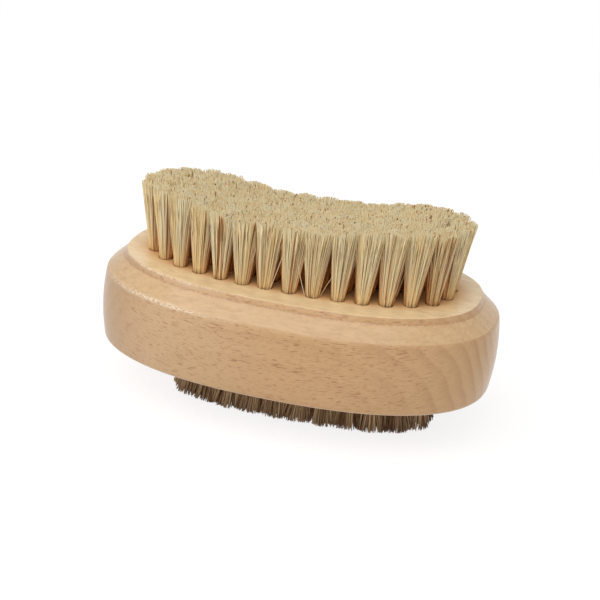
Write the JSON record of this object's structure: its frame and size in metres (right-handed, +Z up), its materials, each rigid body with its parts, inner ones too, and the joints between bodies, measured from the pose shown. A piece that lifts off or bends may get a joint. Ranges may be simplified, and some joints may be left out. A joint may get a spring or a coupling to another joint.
{
  "type": "nail brush",
  "caption": "Two-sided nail brush: an oval wooden block with tall pale bristles on its raised table and shorter grey bristles underneath.",
  "frame": {"origin": "middle of the overall box, on the surface that the lower bristles stand on", "axes": "+X along the block to the right as pictured, +Y away from the viewer, +Z up, out of the taller bristles"},
  "size_m": [0.095, 0.058, 0.0517],
  "materials": {
    "lacquered_beech": "pale beech under clear satin lacquer",
    "cream_bristle": "cream natural bristle, matt",
    "grey_bristle": "grey-brown natural bristle, matt"
  },
  "bodies": {
    "root": {"wooden_block": "lacquered_beech", "upper_bristle_row_01": "cream_bristle", "upper_bristle_row_02": "cream_bristle", "upper_bristle_row_03": "cream_bristle", "upper_bristle_row_04": "cream_bristle", "upper_bristle_row_05": "cream_bristle", "upper_bristle_row_06": "cream_bristle", "upper_bristle_row_07": "cream_bristle", "upper_bristle_row_08": "cream_bristle", "upper_bristle_row_09": "cream_bristle", "upper_bristle_row_10": "cream_bristle", "upper_bristle_row_11": "cream_bristle", "upper_bristle_row_12": "cream_bristle", "upper_bristle_row_13": "cream_bristle", "lower_bristle_row_01": "grey_bristle", "lower_bristle_row_02": "grey_bristle", "lower_bristle_row_03": "grey_bristle", "lower_bristle_row_04": "grey_bristle", "lower_bristle_row_05": "grey_bristle", "lower_bristle_row_06": "grey_bristle", "lower_bristle_row_07": "grey_bristle", "lower_bristle_row_08": "grey_bristle", "lower_bristle_row_09": "grey_bristle"}
  },
  "joints": []
}
